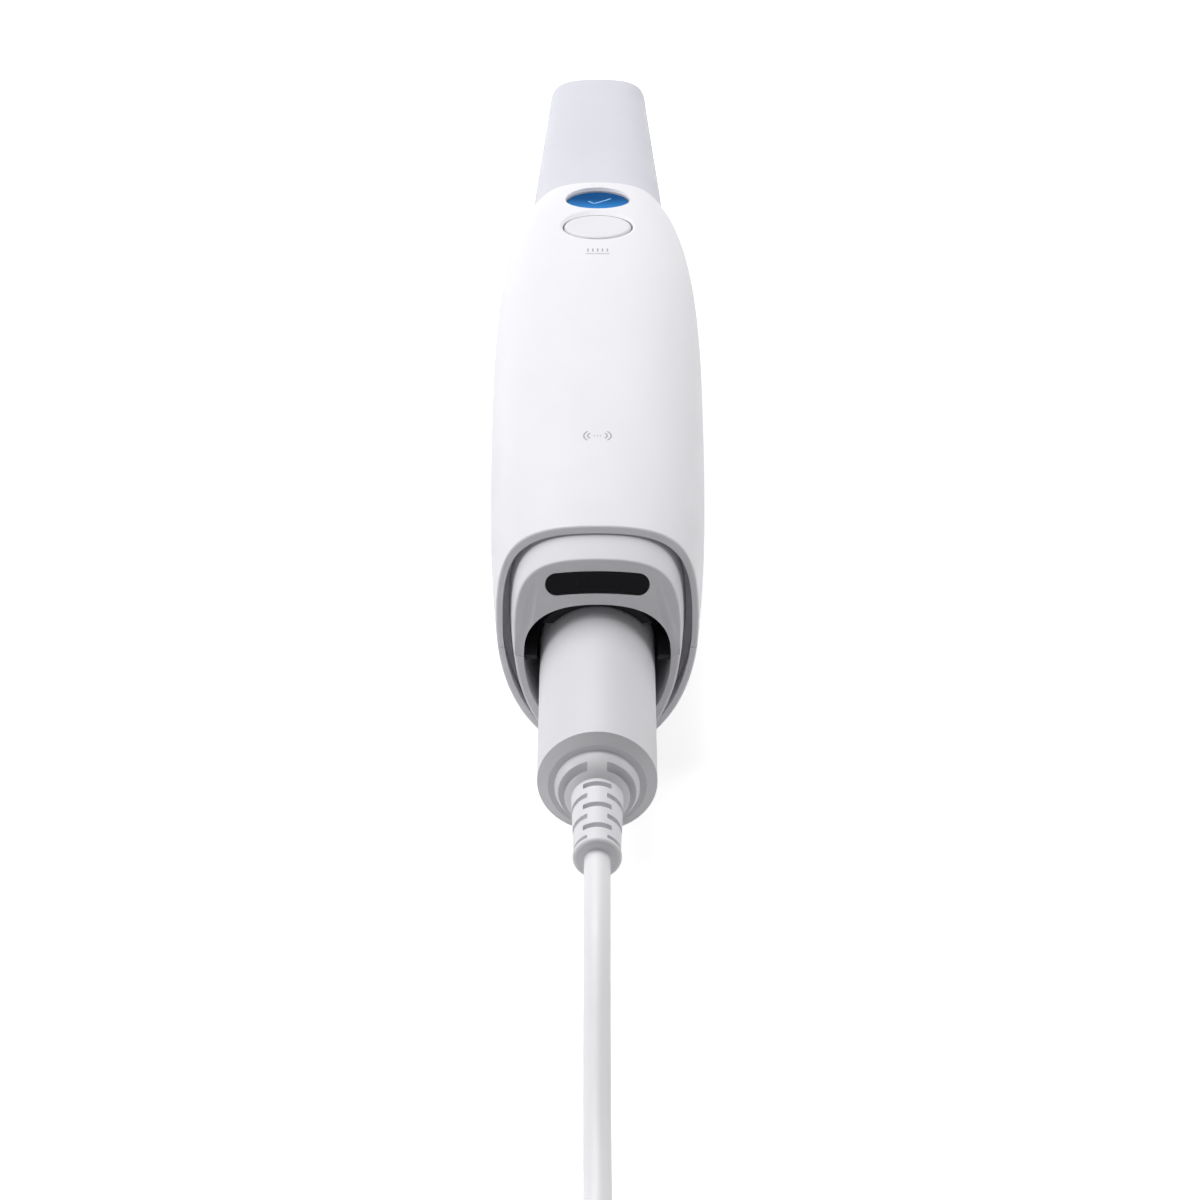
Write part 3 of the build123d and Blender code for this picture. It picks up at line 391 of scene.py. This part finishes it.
NODE_FINISHES = {
    SHELL: ("upper_shell", "lower_shell"),
    BEZEL: ("rear_bezel",),
    TIP: ("tip_sleeve",),
    SCAN_BLUE: ("scan_button",),
    CONTROL_WHITE: ("control_button",),
    WINDOW: ("status_window",),
    SOCKET: ("connector_socket", "plug_core"),
    SEAL: ("rear_gasket", "nose_gasket", "thermal_pad"),
    PLUG: ("plug_body", "host_plug"),
    RELIEF: ("strain_relief",),
    TIE: ("coil_tie",),
    STEEL: ("host_shell",),
    SCREW: ("chassis_screws", "board_screws"),
    ALLOY: ("chassis_tray", "heat_sink", "lens_block"),
    GILT: ("socket_pins", "plug_contacts"),
    BOARD: ("status_board", "socket_board", "main_board", "light_board", "camera_boards", "button_board"),
    CHIP: ("processor", "button_switches"),
    LAMP: ("light_source",),
    BARREL: ("projector_barrel", "camera_barrels", "nose_barrel"),
    LENS: ("projector_lens", "camera_lenses", "nose_glass"),
    MIRROR: ("tip_mirror",),
}


def dress(piece: bpy.types.Object, finish: Finish) -> None:
    """Give an object one finish in all its material slots.

    Args:
        piece: The object.
        finish: The finish, whose material is built when it is first used.
    """
    if not piece.material_slots:
        piece.data.materials.append(None)
    for slot in piece.material_slots:
        slot.material = finish.material()


def add_object(name: str, data: bpy.types.ID) -> bpy.types.Object:
    """Link new data into the scene.

    Args:
        name: Name of the object.
        data: Its mesh, curve, camera or light.

    Returns:
        The object.
    """
    item = bpy.data.objects.new(name, data)
    bpy.context.scene.collection.objects.link(item)
    return item


def grey(level: float) -> tuple[float, float, float, float]:
    """Give an even grey with full cover."""
    return (level, level, level, 1.0)


@dataclass(frozen=True)
class SoftBox:
    """A square lamp that faces the scanner, in metres and watts."""

    name: str
    place: Place
    side: float
    power: float


@dataclass
class Studio:
    """Camera, floor and soft light, in metres."""

    camera_place: Place = (0.0005, -0.728445, 0.422803)
    camera_pitch_deg: float = 57.6
    lens_mm: float = 114.63
    view_reach: float = 50.0
    floor_size: float = 8.0
    floor_drop: float = 0.0002
    floor_white: float = 0.86
    floor_bounce: float = 0.60
    floor_lift: float = 0.60
    floor_roughness: float = 0.9
    floor_specular: float = 0.1
    sky_strength: float = 0.19
    aim: Place = (0.0, -0.03, 0.03)
    lamps: tuple[SoftBox, ...] = (
        SoftBox("overhead", (-0.44, 0.98, 1.67), 1.3, 28.6),
        SoftBox("left_side", (-1.1, -0.10, 0.50), 0.6, 5.0),
        SoftBox("right_side", (1.1, 0.05, 0.50), 0.6, 4.0),
    )

    def build_camera(self) -> None:
        """Put the camera where the photograph was taken from."""
        data = bpy.data.cameras.new("camera")
        data.lens = self.lens_mm
        data.clip_end = self.view_reach
        camera = add_object("camera", data)
        camera.location = self.camera_place
        camera.rotation_euler = (math.radians(self.camera_pitch_deg), 0.0, 0.0)
        bpy.context.scene.camera = camera

    def seen_directly(self, tree: bpy.types.NodeTree) -> Socket:
        """Add the test for rays that come straight, or by gloss or glass, from the camera.

        Args:
            tree: Tree of the floor's or the world's nodes.

        Returns:
            1 for those rays and 0 for the others.
        """
        path = tree.nodes.new("ShaderNodeLightPath")
        seen = path.outputs["Is Camera Ray"]
        for name in ("Is Glossy Ray", "Is Transmission Ray"):
            either = tree.nodes.new("ShaderNodeMath")
            either.operation = "MAXIMUM"
            tree.links.new(seen, either.inputs[0])
            tree.links.new(path.outputs[name], either.inputs[1])
            seen = either.outputs[0]
        return seen

    def build_floor(self) -> None:
        """Lay a pale floor that looks white and keeps a soft shadow."""
        mesh = bpy.data.meshes.new("floor")
        half = self.floor_size / 2
        square = ((-half, -half), (half, -half), (half, half), (-half, half))
        mesh.from_pydata([(x, y, -self.floor_drop) for x, y in square], [], [(0, 1, 2, 3)])
        floor = add_object("floor", mesh)
        material = bpy.data.materials.new("floor_paper")
        material.use_nodes = True
        tree = material.node_tree
        shader = tree.nodes["Principled BSDF"]
        shader.inputs["Roughness"].default_value = self.floor_roughness
        shader.inputs["Specular IOR Level"].default_value = self.floor_specular
        shader.inputs["Emission Color"].default_value = grey(1.0)
        colour = tree.nodes.new("ShaderNodeMix")
        colour.data_type = "RGBA"
        colour.inputs["A"].default_value = grey(self.floor_bounce)
        colour.inputs["B"].default_value = grey(self.floor_white)
        lift = tree.nodes.new("ShaderNodeMath")
        lift.operation = "MULTIPLY"
        lift.inputs[1].default_value = self.floor_lift
        seen = self.seen_directly(tree)
        tree.links.new(seen, colour.inputs["Factor"])
        tree.links.new(colour.outputs["Result"], shader.inputs["Base Color"])
        tree.links.new(seen, lift.inputs[0])
        tree.links.new(lift.outputs[0], shader.inputs["Emission Strength"])
        mesh.materials.append(material)

    def build_world(self) -> None:
        """Light everything evenly from a white surround that the camera sees as plain white."""
        world = bpy.data.worlds.new("surround")
        world.use_nodes = True
        tree = world.node_tree
        background = tree.nodes["Background"]
        background.inputs["Color"].default_value = grey(1.0)
        strength = tree.nodes.new("ShaderNodeMapRange")
        strength.inputs["To Min"].default_value = self.sky_strength
        strength.inputs["To Max"].default_value = 1.0
        tree.links.new(self.seen_directly(tree), strength.inputs["Value"])
        tree.links.new(strength.outputs["Result"], background.inputs["Strength"])
        bpy.context.scene.world = world

    def add_lamp(self, box: SoftBox) -> None:
        """Hang one soft box.

        Args:
            box: Its name, place, size and power.
        """
        data = bpy.data.lights.new(box.name, "AREA")
        data.size = box.side
        data.energy = box.power
        lamp = add_object(box.name, data)
        lamp.location = box.place
        direction = Vector(self.aim) - Vector(box.place)
        lamp.rotation_euler = direction.to_track_quat("-Z", "Y").to_euler()

    def build(self) -> None:
        """Build the whole studio, with the plain view transform."""
        self.build_camera()
        self.build_floor()
        self.build_world()
        for box in self.lamps:
            self.add_lamp(box)
        bpy.context.scene.view_settings.view_transform = "Standard"
        LOG.info("studio")


@dataclass
class Cable:
    """Cable from the strain relief to the host plug, with its put-away coil, in millimetres."""

    diameter: float = 4.75
    ring_detail: int = 8
    steps_per_point: int = 6
    spline_order: int = 3
    coil_centre: tuple[float, float] = (11.0, -317.0)
    coil_radii: tuple[float, ...] = (29.75, 25.0, 20.25)
    coil_base: float = 3.2
    coil_turns: int = 12
    points_per_turn: int = 16
    jog_points: int = 3
    entry_turn: float = 0.5
    length_m: float = 2.0
    out_of_plug: tuple[Place, ...] = (
        (0.0, -177.4, 18.1),
        (0.0, -191.0, 18.1),
        (0.0, -206.5, 15.6),
        (0.0, -223.0, 10.8),
        (0.0, -240.0, 6.0),
        (0.2, -256.5, 3.4),
        (-1.8, -272.0, 2.9),
        (-8.2, -286.5, 2.9),
        (-15.4, -299.5, 3.1),
    )
    on_to_host_plug: tuple[Place, ...] = (
        (-15.2, -308.5, 17.4),
        (-16.4, -319.9, 18.4),
        (-12.9, -330.8, 20.6),
        (-5.2, -339.3, 22.4),
        (5.3, -344.0, 23.1),
        (16.3, -344.0, 23.1),
    )
    pieces: tuple[str, ...] = (
        "plug_body", "plug_core", "plug_contacts", "strain_relief", "coil_tie", "host_plug", "host_shell")

    def turn_places(self) -> list[tuple[float, float]]:
        """Place the coil's turns, layer on layer, stepping in and out by turns.

        Returns:
            Radius and height of each turn, in millimetres.
        """
        columns = len(self.coil_radii)
        places = []
        for turn in range(self.coil_turns):
            layer, column = divmod(turn, columns)
            order = column if layer % 2 == 0 else columns - 1 - column
            places.append((self.coil_radii[order], self.coil_base + layer * self.diameter))
        return places

    def coil(self) -> list[Vector]:
        """Wind the coil, with a jog from each turn to the next.

        Returns:
            Points of the coil, in millimetres.
        """
        places = self.turn_places()
        points = []
        for index in range(self.coil_turns * self.points_per_turn - 1):
            turn, step = divmod(index, self.points_per_turn)
            radius, height = places[turn]
            left = self.points_per_turn - step
            if left <= self.jog_points and turn + 1 < self.coil_turns:
                share = 1 - left / (self.jog_points + 1)
                radius += share * (places[turn + 1][0] - radius)
                height += share * (places[turn + 1][1] - height)
            angle = 2 * math.pi * (self.entry_turn + step / self.points_per_turn)
            points.append(Vector((self.coil_centre[0] + radius * math.cos(angle),
                                  self.coil_centre[1] + radius * math.sin(angle), height)))
        return points

    def build(self) -> None:
        """Build the cable as one smooth spline and put it in the place of the plain solids."""
        route = [Vector(point) for point in self.out_of_plug] + self.coil()
        route += [Vector(point) for point in self.on_to_host_plug]
        curve = bpy.data.curves.new("cable", "CURVE")
        curve.dimensions = "3D"
        curve.bevel_depth = self.diameter / 2 * MM
        curve.bevel_resolution = self.ring_detail
        curve.use_fill_caps = True
        curve.resolution_u = self.steps_per_point
        spline = curve.splines.new("NURBS")
        spline.points.add(len(route) - 1)
        for point, place in zip(spline.points, route):
            point.co = (*(place * MM), 1.0)
        spline.order_u = self.spline_order
        spline.use_endpoint_u = True
        cable = add_object("cable", curve)
        dress(cable, CABLE)
        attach(cable, Body.CABLE.value)
        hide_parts("cable_run", "cable_coil", "cable_tail")
        LOG.info("cable with %d route points", len(route))


class Ground:
    """A solid's surface, looked at along one direction, for thin print to lie on."""

    RUN_UP = 0.05

    def __init__(self, node: str, direction: Vector) -> None:
        """Take the surface of a node.

        Args:
            node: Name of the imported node.
            direction: Direction in which the surface is looked for.
        """
        self.tree = BVHTree.FromObject(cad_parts[node], bpy.context.evaluated_depsgraph_get())
        self.direction = direction.normalized()

    def meet(self, place: Vector) -> tuple[Vector, Vector]:
        """Find where a line through a place meets the surface.

        Args:
            place: A point over the surface, in metres.

        Returns:
            The point on the surface and the surface's normal there.
        """
        start = place - self.direction * self.RUN_UP
        point, normal, _, _ = self.tree.ray_cast(start, self.direction)
        return point, normal


@dataclass
class PrintedMark:
    """Thin printed strokes on a surface. Sizes are in millimetres."""

    name: str
    body: Body
    finish: Finish
    slot: str
    stroke: float
    thickness: float = 0.02
    sunk: float = 0.03

    def build(self, ground: Ground, lines: Sequence[Sequence[Vector]]) -> None:
        """Lay each line on the ground as a closed flat ribbon.

        Args:
            ground: The surface below the print.
            lines: Lines of points over the surface, in metres.
        """
        mesh = bmesh.new()
        for line in lines:
            self.add_ribbon(mesh, ground, line)
        data = bpy.data.meshes.new(self.name)
        bmesh.ops.recalc_face_normals(mesh, faces=mesh.faces)
        mesh.to_mesh(data)
        mesh.free()
        mark = add_object(self.name, data)
        dress(mark, self.finish)
        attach(mark, self.body.value)
        LOG.info("mark %s", self.name)

    def add_ribbon(self, mesh: bmesh.types.BMesh, ground: Ground, line: Sequence[Vector]) -> None:
        """Add one ribbon to the mesh.

        Args:
            mesh: The mesh under way.
            ground: The surface below the print.
            line: The ribbon's middle line, in metres.
        """
        section = ((-1, self.thickness), (1, self.thickness), (1, -self.sunk), (-1, -self.sunk))
        rings = []
        for index, place in enumerate(line):
            ahead = line[min(index + 1, len(line) - 1)] - line[max(index - 1, 0)]
            side = ahead.cross(ground.direction).normalized() * (self.stroke / 2 * MM)
            ring = []
            for offset, lift in section:
                point, normal = ground.meet(place + side * offset)
                ring.append(mesh.verts.new(point + normal * (lift * MM)))
            rings.append(ring)
        for before, after in zip(rings, rings[1:]):
            for corner in range(len(section)):
                following = (corner + 1) % len(section)
                mesh.faces.new((before[corner], before[following], after[following], after[corner]))
        mesh.faces.new(rings[0])
        mesh.faces.new(rings[-1])


def arc(middle: Vector, radius: float, start_deg: float, end_deg: float, steps: int = 14) -> list[Vector]:
    """Work out an arc in a level plane.

    Args:
        middle: Centre of the arc, in metres.
        radius: Radius in millimetres.
        start_deg: Angle at which it starts.
        end_deg: Angle at which it ends.
        steps: How many pieces it has.

    Returns:
        Points along the arc, in metres.
    """
    points = []
    for step in range(steps + 1):
        angle = math.radians(start_deg + (end_deg - start_deg) * step / steps)
        points.append(middle + Vector((math.cos(angle), math.sin(angle), 0.0)) * (radius * MM))
    return points


def softened(points: Sequence[Vector]) -> list[Vector]:
    """Round a line's corners by moving each inner point half the way to the middle of its neighbours.

    Args:
        points: Points of the line.

    Returns:
        As many points, with both ends where they were.
    """
    inner = [(before + here * 2 + after) / 4 for before, here, after in zip(points, points[1:], points[2:])]
    return [points[0], *inner, points[-1]]


@dataclass
class Marks:
    """Printed signs on the crown and on the scan button, in millimetres.

    Stations count from the handle's rear end.
    """

    origin_station: float = 124.0
    above: float = 60.0
    wave_station: float = 49.5
    wave_stroke: float = 0.30
    wave_radii: tuple[float, float] = (1.15, 1.95)
    wave_offset: float = 0.75
    wave_half_angle: float = 52.0
    dot_pitch: float = 0.62
    dot_half_length: float = 0.11
    level_station: float = 128.9
    level_stroke: float = 0.34
    level_length: float = 5.2
    level_rise: tuple[float, float] = (1.2, 3.0)
    level_count: int = 5
    rule_steps: int = 10
    tick_stroke: float = 0.42
    tick_centre: tuple[float, float] = (0.45, 165.9)
    tick_corners: tuple[tuple[float, float], ...] = ((-2.5, 0.0), (-1.3, -1.5), (2.5, 1.5))
    tick_steps: int = 6

    def over(self, x: float, station: float) -> Vector:
        """Give a place above the handle, in metres."""
        return Vector((x, station - self.origin_station, self.above)) * MM

    def wave_lines(self) -> list[list[Vector]]:
        """Draw a plain wireless sign: arcs to both sides of a row of dots.

        Returns:
            The sign's lines, in metres.
        """
        half = self.wave_half_angle
        lines = []
        for side, facing in ((-1, 180.0), (1, 0.0)):
            middle = self.over(side * self.wave_offset, self.wave_station)
            for radius in self.wave_radii:
                lines.append(arc(middle, radius, facing - half, facing + half))
        for column in (-1, 0, 1):
            x = column * self.dot_pitch
            ends = (x - self.dot_half_length, x + self.dot_half_length)
            lines.append([self.over(end, self.wave_station) for end in ends])
        return lines

    def level_lines(self) -> list[list[Vector]]:
        """Draw a rule with a row of plain level marks above it.

        Returns:
            The sign's lines, in metres.
        """
        left = -self.level_length / 2
        rule = []
        for step in range(self.rule_steps + 1):
            rule.append(self.over(left + self.level_length * step / self.rule_steps, self.level_station))
        lines = [rule]
        pitch = self.level_length / self.level_count
        for mark in range(self.level_count):
            x = left + pitch * (mark + 0.5)
            lines.append([self.over(x, self.level_station + rise) for rise in self.level_rise])
        return lines

    def tick_line(self) -> list[Vector]:
        """Draw the tick on the scan button, with a rounded corner.

        Returns:
            The tick's line, in metres.
        """
        corners = [Vector(corner) for corner in self.tick_corners]
        centre = Vector(self.tick_centre)
        points = []
        for start, end in zip(corners, corners[1:]):
            points += [start.lerp(end, step / self.tick_steps) for step in range(self.tick_steps)]
        points.append(corners[-1])
        return [self.over(*(centre + point)) for point in softened(points)]

    def build(self) -> None:
        """Print all the signs."""
        down = Vector((0.0, 0.0, -1.0))
        crown = Ground("upper_shell", down)
        wave = PrintedMark("wireless_sign", Body.HANDLE, PRINT_GREY, "shell_white", self.wave_stroke)
        wave.build(crown, self.wave_lines())
        level = PrintedMark("level_sign", Body.HANDLE, PRINT_GREY, "shell_white", self.level_stroke)
        level.build(crown, self.level_lines())
        button = Ground("scan_button", down)
        tick = PrintedMark("tick_sign", Body.SCAN_KEY, PRINT_PALE, "button_blue", self.tick_stroke)
        tick.build(button, [self.tick_line()])


def dress_nodes() -> None:
    """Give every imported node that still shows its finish."""
    for finish, names in NODE_FINISHES.items():
        for name in names:
            dress(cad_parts[name], finish)
            LOG.info("%s wears %s", name, finish.name)


def main() -> None:
    """Build the studio and the pieces in order."""
    logging.basicConfig(level=logging.INFO, format="%(message)s")
    for build_group in (moulded_group, brushed_group, woven_group, painted_shade_group):
        build_group()
    Studio().build()
    dress_nodes()
    Cable().build()
    Marks().build()


if __name__ == "__main__":
    main()
